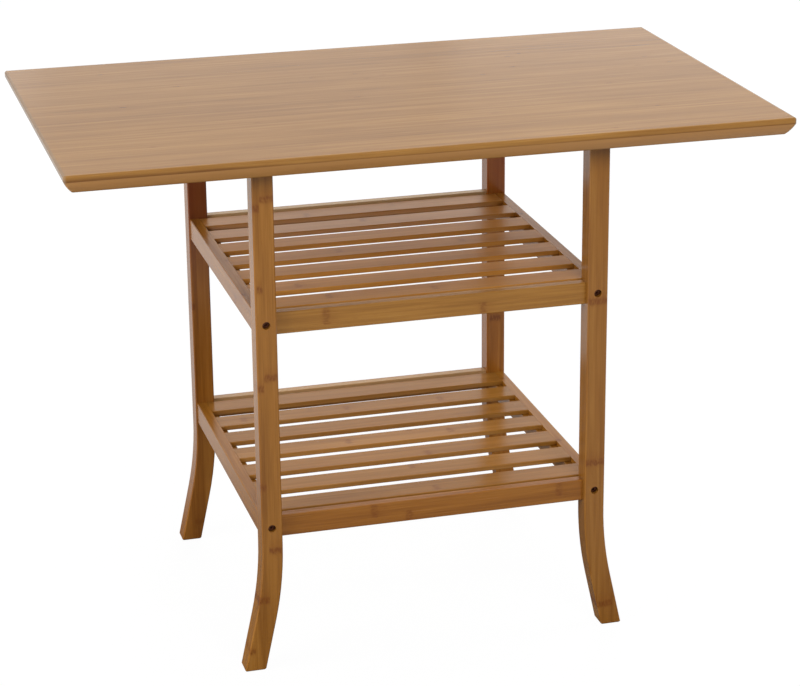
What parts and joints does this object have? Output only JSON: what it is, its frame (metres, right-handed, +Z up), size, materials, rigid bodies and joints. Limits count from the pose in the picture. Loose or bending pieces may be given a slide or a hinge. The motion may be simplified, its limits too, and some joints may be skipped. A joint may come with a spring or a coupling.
{
  "type": "storage table",
  "caption": "Rectangular bamboo table with a moulded overhanging top, legs that splay at the foot, and open slatted shelves bolted between the legs for storage.",
  "frame": {"origin": "on the floor, under the middle of the tabletop", "axes": "+Z up, +X along the length of the tabletop, -Y towards the front"},
  "size_m": [1, 0.6, 0.75],
  "materials": {
    "bamboo_top": "clear lacquer, satin",
    "bamboo_frame": "clear lacquer, satin",
    "bamboo_slats": "clear lacquer, half gloss",
    "steel_hardware": "bright zinc plate"
  },
  "bodies": {
    "root": {"tabletop": "bamboo_top", "leg_front_left": "bamboo_frame", "leg_front_right": "bamboo_frame", "leg_rear_left": "bamboo_frame", "leg_rear_right": "bamboo_frame", "top_bearer_left": "bamboo_frame", "top_bearer_right": "bamboo_frame", "upper_side_rail_left": "bamboo_frame", "upper_side_rail_right": "bamboo_frame", "lower_side_rail_left": "bamboo_frame", "lower_side_rail_right": "bamboo_frame", "upper_front_rail": "bamboo_frame", "upper_rear_rail": "bamboo_frame", "lower_front_rail": "bamboo_frame", "lower_rear_rail": "bamboo_frame", "upper_slat_1": "bamboo_slats", "upper_slat_2": "bamboo_slats", "upper_slat_3": "bamboo_slats", "upper_slat_4": "bamboo_slats", "upper_slat_5": "bamboo_slats", "upper_slat_6": "bamboo_slats", "upper_slat_7": "bamboo_slats", "lower_slat_1": "bamboo_slats", "lower_slat_2": "bamboo_slats", "lower_slat_3": "bamboo_slats", "lower_slat_4": "bamboo_slats", "lower_slat_5": "bamboo_slats", "lower_slat_6": "bamboo_slats", "lower_slat_7": "bamboo_slats", "shelf_bolts": "steel_hardware", "top_screws": "steel_hardware"}
  },
  "joints": []
}
